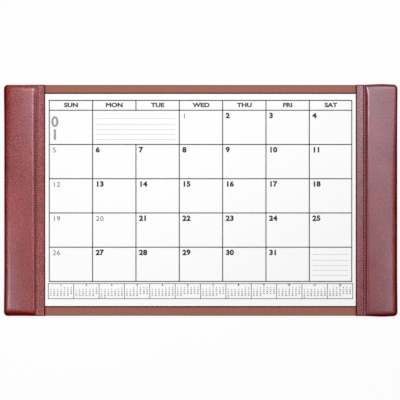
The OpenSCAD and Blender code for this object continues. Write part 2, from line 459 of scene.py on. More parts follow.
def cut_lines(piece, side):
    """Cuts the rough hide into rows and columns, closer together where it bends."""
    rows = math.floor((y_edge - END_ZONE) / STITCH_PITCH)
    straight = [row * STITCH_PITCH for row in range(-rows, rows + 1)]
    end = spaced(straight[-1], y_edge, END_CELLS)[1:]
    divide(piece, 1, [-y for y in reversed(end)] + straight + end)
    roll = flap_t / 2
    before, after = x_crease - CREASE_ZONE, x_crease + CREASE_ZONE
    divide(piece, 0, [x_flap, x_flap + roll / 2, x_flap + roll] + spaced(x_flap + roll, x_hem, 4)[1:])
    divide(piece, 0, spaced(x_hem, before, 4) + spaced(before, x_crease, 3)[1:])
    divide(piece, 0, spaced(x_crease, after, 3) + spaced(after, x_padding, 3)[1:])
    inner = spaced(x_padding, x_padding + SHOULDER_IN[side], 5)
    inner += spaced(inner[-1], x_padding + ROLL_W[side], 5)[1:]
    divide(piece, 0, inner + spaced(inner[-1], x_packing, 2)[1:])
    outer = x_edge - max(SHOULDER_OUT[side])
    divide(piece, 0, spaced(x_packing, outer, 9) + spaced(outer, x_edge, 8)[1:])
    divide(piece, 2, spaced(z_bottom, z_under, 3))
    divide(piece, 2, spaced(z_under, z_gutter, 4))
    divide(piece, 2, [z_gutter] + spaced(z_top - SHOULDER_TOP, z_top, 5))
    bpy.ops.object.mode_set(mode="OBJECT")


# %% [markdown]
# ## Rounding the hide
# The padding and the flap are rounded apart, because the padding's shoulders are several millimetres wide
# and the flap's rolled edges only one. Then the crown, the crease, the sewn valley and small unevenness
# are added as moves of single points, as with a sculpting brush.

# %% Soften the hide
CROWN = 1.0 * MM
HIP = 2.0
ROLL = {"left": 2.1 * MM, "right": 1.2 * MM}
CREASE_DEPTH = {"left": 0.3 * MM, "right": 0.8 * MM}
CREASE_W = 0.6 * MM
RIDGE = {"left": 0.08 * MM, "right": 0.2 * MM}
RIDGE_W = 1.5 * MM
RIDGE_IN = (3.2 * MM, 2.4 * MM)  # from the flap's edge, and from the crease
FOOT_REACH = 2.4 * MM
FLAP_SPARE = {"left": 1.4 * MM, "right": 2.4 * MM}
FLAP_TAPER = {"left": 0.0, "right": 1.0 * MM}
VALLEY_DEPTH = 0.3 * MM
VALLEY_W = 1.6 * MM
SEAM_DRIFT = {"left": (-0.6 * MM, -0.6 * MM), "right": (-1.0 * MM, -0.9 * MM)}
PIT_DRIFT = {"left": (-0.6 * MM, -0.6 * MM), "right": (-0.8 * MM, 0.5 * MM)}
HOLE_DEPTH = 0.35 * MM
HOLE_W = 1.0 * MM
DIMPLE = 0.25 * MM
DIMPLE_SIZE = 70 * MM
CORNER_BULGE = 0.3 * MM
WAIST = {"left": 0.55 * MM, "right": 0.35 * MM}
CORNER_REACH = 60 * MM
END_BULGE = {"left": -0.6 * MM, "right": 1.4 * MM}
END_REACH = 24 * MM
BULGE_ZONE = 20 * MM
FLARE_FRONT = 1.0 * MM
FLARE_BACK = 3.0 * MM
FLARE_LENGTH = 30 * MM
FLARE_W = 10 * MM
FLARE_RISE = 4 * MM


def bell(distance, width):
    """A bell-shaped weight, 1 at no distance."""
    return np.exp(-(distance / width) ** 2)


def towards_back(sizes, y):
    """A size that holds from the front to the middle of the rail and changes from there to the back."""
    return sizes[0] + (sizes[1] - sizes[0]) * smooth_step(y, 0, y_edge)


def round_padding(points, low, high, side):
    """Rounds the padding's shoulders, which meet in soft hips, and its outer corners, and crowns it."""
    none = np.zeros(len(points))
    outer = towards_back(SHOULDER_OUT[side], points[:, 1])
    across = rounded(points, low, high, np.array([SHOULDER_IN[side], 0, 0]),
                     np.column_stack([outer, none, none + SHOULDER_TOP]))
    front, back = SHOULDER_END[side]
    lengthwise = rounded(points, low, high, np.array([0, front, 0]), np.array([0, back, SHOULDER_TOP]))
    drops = points[:, 2:] - np.column_stack([across[:, 2], lengthwise[:, 2]])
    drop = np.minimum(np.sum(drops ** HIP, axis=1) ** (1 / HIP), SHOULDER_TOP)
    bent = np.column_stack([across[:, 0], lengthwise[:, 1], points[:, 2] - drop])
    bent = rounded(bent, low, high, np.array([0, CORNER_R, 0]), np.array([CORNER_R, CORNER_R, 0]))
    middle = (low[0] + high[0]) / 2
    crown = CROWN * ((bent[:, 0] - middle) / (high[0] - middle)) ** 2
    roll = ROLL[side] * np.maximum(1 - (bent[:, 0] - low[0]) / ROLL_W[side], 0) ** 2
    bent[:, 2] -= (crown + roll) * smooth_step(bent[:, 2], z_gutter, z_top)
    return bent


def round_hide(piece, side):
    """Rounds the padding, with its wide shoulders, and the flap, with its narrow rolled edges."""
    points = read_points(piece)
    padding = (points[:, 0] > x_padding + NEAR) | (points[:, 2] > z_gutter + NEAR)
    low, high = np.array([x_padding, -y_edge, -1.0]), np.array([x_edge, y_edge, z_top])
    points[padding] = round_padding(points[padding], low, high, side)
    roll = np.full(3, flap_t / 2)
    low, high = np.array([x_flap, -y_edge, z_under]), np.array([1.0, y_edge, z_gutter])
    points[~padding] = rounded(points[~padding], low, high, roll, roll)
    write_points(piece, points)


def soften_foot(piece):
    """Rounds the hollow where the padding meets the gutter."""
    edit(piece, "VERT")
    foot = Vector((x_padding, 0, z_gutter))
    pick(piece, "verts", lambda v: (Vector((v.co.x, 0, v.co.z)) - foot).length < FOOT_REACH)
    bpy.ops.mesh.vertices_smooth(factor=0.5, repeat=2)
    bpy.ops.object.mode_set(mode="OBJECT")


def press_flap(points, side):
    """Presses in the crease, the sewn valley and the needle holes, and raises the hem's edges."""
    x, y, z = points.T
    crease = CREASE_DEPTH[side] * bell(x - x_crease, CREASE_W)
    off_seam = x - x_seam - towards_back(PIT_DRIFT[side], y)
    valley = VALLEY_DEPTH * bell(off_seam, VALLEY_W)
    along = y / STITCH_PITCH
    hole = HOLE_DEPTH * bell(off_seam, HOLE_W) * bell((along - np.round(along)) * STITCH_PITCH, HOLE_W)
    hole *= np.abs(y) < seam_high.y + STITCH_PITCH / 2
    by_edge, by_crease = x_flap + RIDGE_IN[0], x_crease - RIDGE_IN[1]
    ridge = RIDGE[side] * (bell(x - by_edge, RIDGE_W) + bell(x - by_crease, RIDGE_W))
    top_face = (z > z_under + flap_t * 0.8) & (x < x_padding + MM)
    taper = FLAP_TAPER[side] * np.clip((x_crease - x) / (x_crease - x_flap), 0, 1)
    points[:, 2] += np.where(top_face, ridge - crease - valley - hole - taper, 0)
    points[:, 0] -= FLAP_SPARE[side] * (1 - smooth_step(x, x_flap, x_crease))


def work_padding(points, side):
    """Makes the padding uneven, as foam under stretched leather is, and swells its corners and ends."""
    x, y, z = points.T
    phase = Vector((SIDES[side] * 3.7, 1.3, 0))
    padding = smooth_step(z, z_gutter, z_top)
    for i, point in enumerate(points):
        if padding[i] > 0:
            wave = noise.noise(Vector(point) / DIMPLE_SIZE + phase)
            ripple = noise.noise(Vector(point) / (DIMPLE_SIZE * 0.36) - phase)
            point[2] += DIMPLE * (wave + 0.4 * ripple) * padding[i]
    high = smooth_step(z, z_bottom, z_gutter)
    corner = bell(y_edge - np.abs(y), CORNER_REACH)
    outer = smooth_step(x, x_edge - BULGE_ZONE, x_edge)
    points[:, 0] += (CORNER_BULGE * corner * high - WAIST[side] * (1 - corner)) * outer
    end = bell(x - (x_padding + x_edge) / 2, END_REACH)
    end *= smooth_step(np.abs(y), y_edge - BULGE_ZONE, y_edge)
    points[:, 1] += END_BULGE[side] * np.sign(y) * end * high
    flare = np.where(y > 0, FLARE_BACK, FLARE_FRONT)
    flare *= smooth_step(np.abs(y), y_edge - FLARE_LENGTH, y_edge)
    inner = 1 - smooth_step(x, x_padding, x_padding + FLARE_W)
    points[:, 0] -= flare * inner * smooth_step(z, z_gutter, z_gutter + FLARE_RISE)


# %% [markdown]
# ## Painted shade on the edges
# Shade is painted into the hide's colour as a dark red without shine: along the outer side, round both
# ends, wider at the front end, on the flap's fold, in the crease and at the foot of the padding. Hands
# then polish the inner shoulder and the back end until they gleam. A painted mask could say where, but it
# would need an image. One number on each point, worked out from its distance to those edges, needs none,
# and the leather's material reads it.

# %% Darken its edges
# Two values hold at the front and at the back of the rail. First the widths of the rims of painted shade.
RIM_SIDE = {"left": (7.0 * MM, 10.0 * MM), "right": (8.7 * MM, 4.5 * MM)}
RIM_END = {"left": (19.0 * MM, 2.2 * MM), "right": (12.0 * MM, 2.6 * MM)}
RIM_FLAP = 2.8 * MM
RIM_WANDER = 45 * MM
RIM_UNEVEN = 0.3
# Painted shade in the crease and at the padding's foot.
CREASE_DARK = {"left": 0.3, "right": 1.0}
CREASE_DARK_W = 0.8 * MM
CREASE_FADE = (0.75, 1.2)
FOOT_DARK = {"left": (0.2, 0.0), "right": (0.4, 0.3)}
FOOT_W = {"left": 3.2 * MM, "right": 1.8 * MM}
# Rubbed to a shine: how much, and how far inside the padding's inner side and its back end.
POLISH = {"left": 0.25, "right": 0.8}
POLISH_X = {"left": 5.8 * MM, "right": 3.0 * MM}
POLISH_END = {"left": 0.12, "right": 0.25}
POLISH_Y = {"left": 9.5 * MM, "right": 6.9 * MM}
POLISH_W = 2.8 * MM
POLISH_FADE = (0.2, 1.0)


def mark_burnish(piece, side):
    """Writes how much painted shade darkens the edges, crease and foot, with values below zero where
    polished.
    """
    points = read_points(piece)
    x, y, z = points.T
    wander = 1 + RIM_UNEVEN * np.array([noise.noise(Vector(point) / RIM_WANDER) for point in points])
    side_w = towards_back(RIM_SIDE[side], y) * wander
    end_w = np.where(x < x_padding, RIM_FLAP, towards_back(RIM_END[side], y) * wander)
    past_x = np.maximum(x - x_edge + CORNER_R, 0)
    past_y = np.maximum(np.abs(y) - y_edge + CORNER_R, 0)
    corner = np.where((past_x > 0) & (past_y > 0), CORNER_R - np.hypot(past_x, past_y), CORNER_REACH)
    # Painted shade: dark rims along the outer side, round the ends and corners, and on the flap's fold.
    rim_side = 1 - smooth_step((x_edge - x) / side_w, 0.25, 1.0)
    rim_end = 1 - smooth_step((y_edge - np.abs(y)) / end_w, 0.1, 1.0)
    rim_corner = 1 - smooth_step(corner / np.minimum(side_w, end_w), 0.25, 1.0)
    crease = CREASE_DARK[side] * towards_back(CREASE_FADE, y) * bell(x - x_crease, CREASE_DARK_W)
    off_foot = np.hypot(x - x_padding, (z - z_gutter) * 0.5)
    foot = towards_back(FOOT_DARK[side], y) * bell(off_foot, FOOT_W[side])
    fold = 1 - smooth_step(x, x_flap + 0.65 * RIM_FLAP, x_flap + RIM_FLAP)
    dark = np.clip(np.max([rim_side, rim_end, rim_corner, crease, foot, fold], axis=0), 0, 1)
    inner = POLISH[side] * towards_back(POLISH_FADE, y) * bell(x - x_padding - POLISH_X[side], POLISH_W)
    back = POLISH_END[side] * bell(y_edge - y - POLISH_Y[side], 1.5 * POLISH_W)
    dark -= np.maximum(inner, back) * (1 - dark) * smooth_step(z, z_gutter, z_top)
    attribute = piece.data.attributes.new("burnish", "FLOAT", "POINT")
    attribute.data.foreach_set("value", dark.astype(np.float32))


# %% [markdown]
# ## Thickness and sides
# The hide gets its leather thickness towards the inside, thinner where it is folded round the flap, as a
# leatherworker pares an edge before turning it. The left-hand hide is the mirror image.

# %% Make both hides
PARED = 0.72
PARED_W = 4 * MM


def thicken(piece):
    """Gives the hide its thickness, pared along the flap."""
    group = piece.vertex_groups.new(name="thickness")
    for vert in piece.data.vertices:
        full = smooth_step(vert.co.x, x_padding, x_padding + PARED_W)
        group.add([vert.index], PARED + (1 - PARED) * float(full), "REPLACE")
    apply_modifier(piece, "SOLIDIFY", thickness=leather_t, offset=-1.0, vertex_group="thickness",
                   use_even_offset=False)
    piece.vertex_groups.clear()


def to_side(piece, side):
    """Mirrors a right-hand piece to the left, with its faces still outwards."""
    if side == "left":
        piece.data.transform(Matrix.Scale(-1, 4, (1, 0, 0)))
        piece.data.flip_normals()


def make_hide(side):
    """The finished hide of one rail."""
    piece = rough_hide(f"{side}_rail_hide")
    cut_lines(piece, side)
    round_hide(piece, side)
    soften_foot(piece)
    edit(piece, "FACE")
    bpy.ops.mesh.select_all(action="SELECT")
    bpy.ops.mesh.normals_make_consistent(inside=False)
    bpy.ops.object.mode_set(mode="OBJECT")
    apply_modifier(piece, "SUBSURF", levels=1, render_levels=1)
    mark_burnish(piece, side)
    points = read_points(piece)
    press_flap(points, side)
    work_padding(points, side)
    write_points(piece, points)
    thicken(piece)
    to_side(piece, side)
    bpy.ops.object.shade_smooth_by_angle(angle=math.radians(50))
    piece.data.materials.append(leathers[side])
    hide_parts(f"{side}_rail_leather", f"{side}_flap_leather")
    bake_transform(piece)
    return piece


for side in SIDES:
    piece = make_hide(side)
    print(piece.name, len(piece.data.polygons), "faces")

# %% [markdown]
# ## Foam inside the rails
# Under the leather lies a slab of upholstery foam with the same crown and shoulders, one leather thickness
# smaller all round. It only shows where the hide is cut away, but the solid in the frame is the plain form,
# so the foam is made again with the hide's own rounding.

# %% Foam material and foam pads
FOAM_CELL_MM = 1.5  # real cells are about 0.5 mm, drawn coarser to show
FOAM_PLAY = 0.1 * MM

# Cut polyurethane foam: open cells that swallow the light, matt and a little yellowed.
foam_skin, tree = new_material("cut_polyurethane_foam")
place = add_node(tree, "ShaderNodeTexCoord").outputs["Object"]
cells = add_node(tree, "ShaderNodeTexVoronoi", values={"Scale": 1 / (FOAM_CELL_MM * MM)},
                 links={"Vector": place})
shade = add_node(tree, "ShaderNodeMapRange", values={"To Min": 1.0, "To Max": 0.7},
                 links={"Value": cells.outputs["Distance"]})
tint = add_node(tree, "ShaderNodeMix", {"data_type": "RGBA"},
                {6: linear("#9C8F66"), 7: linear("#E2D9B4")}, {0: shade.outputs[0]})
pores = add_node(tree, "ShaderNodeBump", values={"Strength": 0.6, "Distance": 0.5 * MM},
                 links={"Height": cells.outputs["Distance"]})
finish_material(tree, {"Roughness": 0.95}, {"Base Color": tint.outputs[2], "Normal": pores.outputs["Normal"]})


def make_foam(side):
    """The foam of one rail, rounded like the hide and drawn in by the leather's thickness."""
    gap = leather_t + FOAM_PLAY
    low = Vector((x_padding + gap, -y_edge + gap, foam_low.z))
    high = Vector((x_edge - gap, y_edge - gap, z_top - gap))
    piece = block(f"{side}_foam_pad", low, high)
    edit(piece, "EDGE")
    end = spaced(high.y - END_ZONE, high.y, 6)
    divide(piece, 1, [-y for y in reversed(end)] + spaced(-end[0], end[0], 40)[1:] + end[1:])
    inner, outer = low.x + ROLL_W[side], high.x - max(SHOULDER_OUT[side])
    divide(piece, 0, spaced(low.x, inner, 8) + spaced(inner, outer, 8)[1:] + spaced(outer, high.x, 5)[1:])
    divide(piece, 2, spaced(low.z, high.z, 5))
    bpy.ops.object.mode_set(mode="OBJECT")
    inner_low = np.array([low.x, low.y, -1.0])
    write_points(piece, round_padding(read_points(piece), inner_low, np.array(high), side))
    to_side(piece, side)
    bpy.ops.object.shade_smooth_by_angle(angle=math.radians(50))
    piece.data.materials.append(foam_skin)
    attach(piece, "pad")
    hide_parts(f"{side}_rail_foam")
    return piece


for side in SIDES:
    print(make_foam(side).name)

# %% [markdown]
# ## Stitching
# A heavy waxed thread, dyed like the leather, runs down each gutter in lockstitch. Every stitch dives into
# a needle hole at both ends. One stitch is a short cylinder, divided along its length, pulled down at its
# ends and turned a little off the seam's line, as a machine lays it. An Array modifier repeats it, and the
# row then drifts a little off its line, as hand-guided seams do. A small cup painted near black as shade
# lies in each hole.

# %% Thread
PLY_MM = 0.9
# Painted highlight and shade: the thread is dyed like the leather, and these lighter tones, banded along the
# twist, stand in for the light on its plies.
THREAD_TONES_AND_HIGHLIGHTS = {"left": ("#9C4846", "#CC807C"), "right": ("#A45A5A", "#DCA09E")}


def waxed_thread(side):
    """The waxed polyester thread of one seam: twisted plies, with painted highlight and shade in slanting
    bands.
    """
    material, tree = new_material(f"waxed_twisted_thread_{side}")
    dark, pale = THREAD_TONES_AND_HIGHLIGHTS[side]
    place = add_node(tree, "ShaderNodeTexCoord").outputs["Object"]
    turned = add_node(tree, "ShaderNodeMapping", values={"Rotation": (0, 0, math.radians(40))},
                      links={"Vector": place})
    plies = add_node(tree, "ShaderNodeTexWave", {"bands_direction": "Y"}, {"Scale": 0.3 / (PLY_MM * MM)},
                     {"Vector": turned.outputs[0]})
    yarn = add_node(tree, "ShaderNodeMix", {"data_type": "RGBA"}, {6: linear(dark), 7: linear(pale)},
                    {0: plies.outputs["Fac"]})
    twist = add_node(tree, "ShaderNodeBump", values={"Strength": 0.5, "Distance": 0.2 * MM},
                     links={"Height": plies.outputs["Fac"]})
    finish_material(tree, {"Roughness": 0.45},
                    {"Base Color": yarn.outputs[2], "Normal": twist.outputs["Normal"]})
    return material


threads = {side: waxed_thread(side) for side in SIDES}

# Painted shade: the bottom of a needle hole, where hardly any light comes, is coloured near black.
pit, tree = new_material("needle_hole_in_shadow")
finish_material(tree, {"Base Color": linear("#140102"), "Roughness": 0.9, "Specular IOR Level": 0.1}, {})
print("thread for", len(threads), "seams")

# %% [markdown]
# ## One stitch, many times
# Modelling one stitch and repeating it keeps all of them alike and the mesh small. A curve with a round
# section could follow the whole seam instead, but it would lie on the leather like a cord and not dive
# into the holes.

# %% Stitch the rails
THREAD_R = 0.75 * MM
STITCH_L = 3.0 * MM
STITCH_SLANT = math.radians(7)
STITCH_DIVE = 0.55 * MM
STITCH_TAPER = 0.25
STITCH_LIFT = 0.75
PIT_R = 1.5 * MM
PIT_H = 0.5 * MM
PIT_TAPER = 0.6
PIT_LIFT = 0.05 * MM
PIT_RIM = 0.35
PIT_HOLLOW = 0.15 * MM
seam_stitches = round((seam_high.y - seam_low.y) / STITCH_PITCH)
first_y = -(seam_stitches - 1) / 2 * STITCH_PITCH
seam_z = z_gutter - VALLEY_DEPTH


def repeat_along_seam(piece, drift, count):
    """Repeats a piece along Y by the stitch length, and lets it drift off the line towards the back."""
    apply_modifier(piece, "ARRAY", count=count, use_relative_offset=False, use_constant_offset=True,
                   constant_offset_displace=(0, STITCH_PITCH, 0))
    points = read_points(piece)
    points[:, 0] += towards_back(drift, points[:, 1])
    write_points(piece, points)


def make_stitches(side):
    """All stitches of one seam."""
    bpy.ops.object.select_all(action="DESELECT")
    bpy.ops.mesh.primitive_cylinder_add(vertices=8, radius=THREAD_R, depth=STITCH_L,
                                        rotation=(math.pi / 2, 0, 0))
    bpy.ops.object.transform_apply(location=True, rotation=True, scale=True)
    piece = bpy.context.object
    piece.name = piece.data.name = f"{side}_seam_thread"
    edit(piece, "EDGE")
    divide(piece, 1, spaced(-STITCH_L / 2, STITCH_L / 2, 6))
    bpy.ops.object.mode_set(mode="OBJECT")
    points = read_points(piece)
    share = points[:, 1] / (STITCH_L / 2)
    points[:, [0, 2]] *= (1 - STITCH_TAPER * share ** 4)[:, None]
    points[:, 2] += THREAD_R * STITCH_LIFT - STITCH_DIVE * share ** 4
    cosine, sine = math.cos(STITCH_SLANT), math.sin(STITCH_SLANT)
    points[:, :2] = points[:, :2] @ np.array([[cosine, sine], [-sine, cosine]])
    points += np.array([x_seam, first_y, seam_z])
    write_points(piece, points)
    repeat_along_seam(piece, SEAM_DRIFT[side], seam_stitches)
    to_side(piece, side)
    bpy.ops.object.shade_smooth_by_angle(angle=math.radians(60))
    piece.data.materials.append(threads[side])
    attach(piece, "pad")
    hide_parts(f"{side}_rail_stitching")
    return piece


def make_pits(side):
    """The bottoms of one seam's needle holes, painted near black as shade."""
    bpy.ops.object.select_all(action="DESELECT")
    middle = (x_seam, first_y - STITCH_PITCH / 2, seam_z + PIT_LIFT - PIT_H / 2)
    bpy.ops.mesh.primitive_cone_add(vertices=10, radius1=PIT_R * PIT_TAPER, radius2=PIT_R, depth=PIT_H,
                                    location=middle)
    bpy.ops.object.transform_apply(location=True, rotation=True, scale=True)
    piece = bpy.context.object
    piece.name = piece.data.name = f"{side}_needle_holes"
    edit(piece, "FACE")
    pick(piece, "faces", lambda face: face.normal.z > 0.9)
    bpy.ops.mesh.inset(thickness=PIT_R * PIT_RIM, depth=-PIT_HOLLOW)
    bpy.ops.object.mode_set(mode="OBJECT")
    repeat_along_seam(piece, PIT_DRIFT[side], seam_stitches + 1)
    to_side(piece, side)
    piece.data.materials.append(pit)
    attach(piece, "pad")
    return piece


for side in SIDES:
    print(make_stitches(side).name, make_pits(side).name, seam_stitches, "stitches")

# %% [markdown]
# ## The printed sheets
# Each sheet carries a month's grid in black and grey ink: seven columns, five rows, a header, ruled lines
# for notes and a strip of twelve small month tables. Text objects give the numerals, which become meshes
# once and are then copied to their places. A bevel makes their strokes heavier and is then pressed flat,
# because growing the outline itself breaks some letters. The ink is a hundredth of a millimetre thick, so
# that it lies on the paper without touching the sheet above.

# %% Inks
# Offset ink: a flat, slightly soft film. The greys are tints of the same black.
INKS = {"black": "#040404", "line": "#0E0E10", "edge": "#3C3C3E", "grey": "#66666A", "pale": "#96969A",
        "rule": "#C6C6C8"}
ink_order = list(INKS)
ink_materials = []
for name, colour in INKS.items():
    ink, tree = new_material(f"{name}_printing_ink")
    finish_material(tree, {"Base Color": linear(colour), "Roughness": 0.6}, {})
    ink_materials.append(ink)
print("inks:", ", ".join(INKS))

# %% Glyphs
INK_T = 0.012 * MM
INK_SINK = 0.002 * MM
DIGIT_SHARE = 0.73  # how high a digit is in a font of size 1
glyph_store = {}


def glyph(words, height, weight, resolution, stretch=1.0):
    """A thin mesh of a short text of a given height, with its lower left corner at the origin."""
    key = (words, height, weight, resolution, stretch)
    if key not in glyph_store:
        bpy.ops.object.select_all(action="DESELECT")
        bpy.ops.object.text_add()
        text = bpy.context.object
        text.data.body = words
        text.data.size = height / DIGIT_SHARE
        text.data.bevel_depth = weight * height
        text.data.bevel_resolution = 0
        text.data.resolution_u = resolution
        bpy.ops.object.convert(target="MESH")
        text = bpy.context.object
        points = read_points(text)
        points -= points.min(axis=0)
        points *= np.array([stretch, 1, INK_T / points[:, 2].max()])
        write_points(text, points)
        text.data.shade_flat()
        glyph_store[key] = text.data.copy()
        glyph_store[key]["reach"] = [float(v) for v in points.max(axis=0)]
        bpy.data.objects.remove(text)
    return glyph_store[key]


def stamp(sheet, mesh, x, y, z, ink):
    """Adds a glyph to a sheet's print, with its lower left corner at a place."""
    known = len(sheet.verts)
    faces = len(sheet.faces)
    sheet.from_mesh(mesh)
    sheet.verts.ensure_lookup_table()
    sheet.faces.ensure_lookup_table()
    for vert in sheet.verts[known:]:
        vert.co += Vector((x, y, z))
    for face in sheet.faces[faces:]:
        face.material_index = ink_order.index(ink)


def bar(sheet, low, high, z, ink):
    """Adds a printed bar between two corners."""
    middle = Vector(((low[0] + high[0]) / 2, (low[1] + high[1]) / 2, z + INK_T / 2))
    size = Vector((high[0] - low[0], high[1] - low[1], INK_T))
    faces = len(sheet.faces)
    bmesh.ops.create_cube(sheet, matrix=Matrix.Translation(middle) @ Matrix.Diagonal(size).to_4x4())
    sheet.faces.ensure_lookup_table()
    for face in sheet.faces[faces:]:
        face.material_index = ink_order.index(ink)


def line(sheet, start, end, width, z, ink):
    """Adds a printed line along X or Y."""
    low = (min(start[0], end[0]) - width / 2, min(start[1], end[1]) - width / 2)
    high = (max(start[0], end[0]) + width / 2, max(start[1], end[1]) + width / 2)
    bar(sheet, low, high, z, ink)


# %% [markdown]
# ## Laying out a month
# The grid, the dates and the small tables follow from a few sizes and from the weekday on which the year
# starts, so all twelve sheets come from one function. Operators would be slow with thousands of marks, so
# the copies go straight into one mesh for each sheet, which rides on that sheet's body.

# %% Lay out one month
GRID_X = 332.2 * MM
GRID_TOP = 219.6 * MM
GRID_HEAD = 198.0 * MM
ROW_H = 75.2 * MM
ROWS = 5
COLUMNS = 7
COLUMN_W = 95.2 * MM  # the last column is a little narrower
GRID_LINE = 2.2 * MM
HEAD_H = 9.3 * MM
HEAD_UP = 6.6 * MM
HEAD_WEIGHT = 0.06
HEAD_STRETCH = 1.25
DATE_H = 11.2 * MM
DATE_IN = (6.7 * MM, 6.5 * MM)
DATE_WEIGHTS = {"black": 0.075, "grey": 0.01}
DATE_STRETCH = 1.1
FIGURE_W = 9.0 * MM
MONTH_H = 23 * MM
MONTH_WEIGHT = 0.04
MONTH_PITCH = 28 * MM
MONTH_PLACE = (-319.9 * MM, 161 * MM)
# Where the note lines start and end, and the height of the first, in the first row and in the last.
NOTES_FIRST = (-230.4 * MM, -55.5 * MM, 179.7 * MM)
NOTES_LAST = (245.9 * MM, 324.0 * MM, -119.0 * MM)
RULES = 5
RULE_PITCH = 11.0 * MM
RULE_HEAD = 2.2 * MM
RULE_LINE = 1.1 * MM
PRINT_SHIFT = -0.4 * MM
STRIP_X = 334.3 * MM
STRIP_TOP = -182.8 * MM
STRIP_BOTTOM = -215.8 * MM
STRIP_LINE = 1.6 * MM
TITLE_H = 4.2 * MM
TITLE_DOWN = 5.2 * MM
TITLE_WEIGHT = 0.08
MINI_H = 2.9 * MM
MINI_DOWN = 10.2 * MM
MINI_PITCH = 4.3 * MM
MINI_WEIGHT = 0.06
WEEKDAYS = ["SUN", "MON", "TUE", "WED", "THU", "FRI", "SAT"]
MONTH_DAYS = [31, 28, 31, 30, 31, 30, 31, 31, 30, 31, 30, 31]
FIRST_WEEKDAY = 3
FREE_DAYS = {0: (1, 20)}


def month_start(month):
    """The weekday of a month's first day, with Sunday as 0."""
    return (FIRST_WEEKDAY + sum(MONTH_DAYS[:month])) % COLUMNS


def draw_grid(sheet, z, start):
    """The header, the cells and the weekday heads, with one wide notes cell where the first row has room."""
    bottom = GRID_HEAD - ROWS * ROW_H
    line(sheet, (-GRID_X, GRID_TOP), (GRID_X, GRID_TOP), GRID_LINE, z, "line")
    for row in range(ROWS + 1):
        y = GRID_HEAD - row * ROW_H
        line(sheet, (-GRID_X, y), (GRID_X, y), GRID_LINE, z, "line" if row else "edge")
    for column in range(COLUMNS + 1):
        x = min(-GRID_X + column * COLUMN_W, GRID_X)
        if column == 2 and start > 2:
            line(sheet, (x, GRID_HEAD), (x, GRID_TOP), GRID_LINE, z, "line")
            line(sheet, (x, bottom), (x, GRID_HEAD - ROW_H), GRID_LINE, z, "line")
        else:
            ink = "edge" if column in (0, COLUMNS) else "line"
            line(sheet, (x, bottom), (x, GRID_TOP), GRID_LINE, z, ink)
    for column, name in enumerate(WEEKDAYS):
        head = glyph(name, HEAD_H, HEAD_WEIGHT, 4, HEAD_STRETCH)
        x = -GRID_X + (column + 0.5) * COLUMN_W - head["reach"][0] / 2
        stamp(sheet, head, x, GRID_HEAD + HEAD_UP, z, "black")


def draw_dates(sheet, z, month, start):
    """The dates, one figure beside the other. A date past the last row shares the cell above."""
    for day in range(1, MONTH_DAYS[month] + 1):
        cell = start + day - 1
        column, row = cell % COLUMNS, cell // COLUMNS
        spill = row >= ROWS
        row = min(row, ROWS - 1)
        ink = "grey" if column == 0 or day in FREE_DAYS.get(month, ()) else "black"
        left = -GRID_X + column * COLUMN_W + DATE_IN[0]
        y = GRID_HEAD - row * ROW_H - DATE_IN[1] - DATE_H
        if spill:
            y -= ROW_H / 2
        for place, figure in enumerate(str(day)):
            number = glyph(figure, DATE_H, DATE_WEIGHTS[ink], 4, DATE_STRETCH)
            x = left + (place + 0.5) * FIGURE_W - number["reach"][0] / 2
            stamp(sheet, number, x, y, z, ink)


def draw_rules(sheet, z, x_from, x_to, y_first):
    """Ruled lines for notes, with a wider space under the first."""
    for i in range(RULES):
        y = y_first - i * RULE_PITCH - (RULE_HEAD if i else 0)
        line(sheet, (x_from, y), (x_to, y), RULE_LINE, z, "rule")


def draw_small_months(sheet, z):
    """A strip of twelve small month tables below the grid."""
    box_w = 2 * STRIP_X / len(MONTHS)
    for y in (STRIP_TOP, STRIP_BOTTOM):
        line(sheet, (-STRIP_X, y), (STRIP_X, y), STRIP_LINE, z, "grey")
    for month in range(len(MONTHS) + 1):
        x = -STRIP_X + month * box_w
        line(sheet, (x, STRIP_BOTTOM), (x, STRIP_TOP), STRIP_LINE, z, "grey")
    for month in range(len(MONTHS)):
        left = -STRIP_X + month * box_w
        title = glyph(str(month + 1), TITLE_H, TITLE_WEIGHT, 2)
        stamp(sheet, title, left + (box_w - title["reach"][0]) / 2, STRIP_TOP - TITLE_DOWN, z, "black")
        start = month_start(month)
        for day in range(1, MONTH_DAYS[month] + 1):
            column, row = (start + day - 1) % COLUMNS, (start + day - 1) // COLUMNS
            number = glyph(str(day), MINI_H, MINI_WEIGHT, 1)
            x = left + (column + 0.75) * box_w / (COLUMNS + 0.5) - number["reach"][0] / 2
            y = STRIP_TOP - MINI_DOWN - row * MINI_PITCH
            stamp(sheet, number, x, y, z, "grey" if column == 0 else "line")


def print_month(month):
    """The print of one month's sheet."""
    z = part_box(f"{MONTHS[month]}_sheet")[1].z - INK_SINK
    start = month_start(month)
    sheet = bmesh.new()
    draw_grid(sheet, z, start)
    draw_dates(sheet, z, month, start)
    if start > 2:
        draw_rules(sheet, z, *NOTES_FIRST)
    last_cell = start + MONTH_DAYS[month] - 1
    if last_cell < ROWS * COLUMNS - 1:
        draw_rules(sheet, z, *NOTES_LAST)
    for i, digit in enumerate(f"{month + 1:02d}"):
        number = glyph(digit, MONTH_H, MONTH_WEIGHT, 4)
        x = MONTH_PLACE[0] - number["reach"][0] / 2
        stamp(sheet, number, x, MONTH_PLACE[1] - i * MONTH_PITCH, z, "pale")
    draw_small_months(sheet, z)
    bmesh.ops.translate(sheet, vec=(PRINT_SHIFT, 0, 0), verts=sheet.verts)
    mesh = bpy.data.meshes.new(f"{MONTHS[month]}_print")
    sheet.to_mesh(mesh)
    sheet.free()
    piece = bpy.data.objects.new(f"{MONTHS[month]}_print", mesh)
    bpy.context.scene.collection.objects.link(piece)
    for ink in ink_materials:
        mesh.materials.append(ink)
    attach(piece, f"{MONTHS[month]}_sheet")
    return piece


for month in range(len(MONTHS)):
    piece = print_month(month)
    print(piece.name, len(piece.data.polygons), "faces")

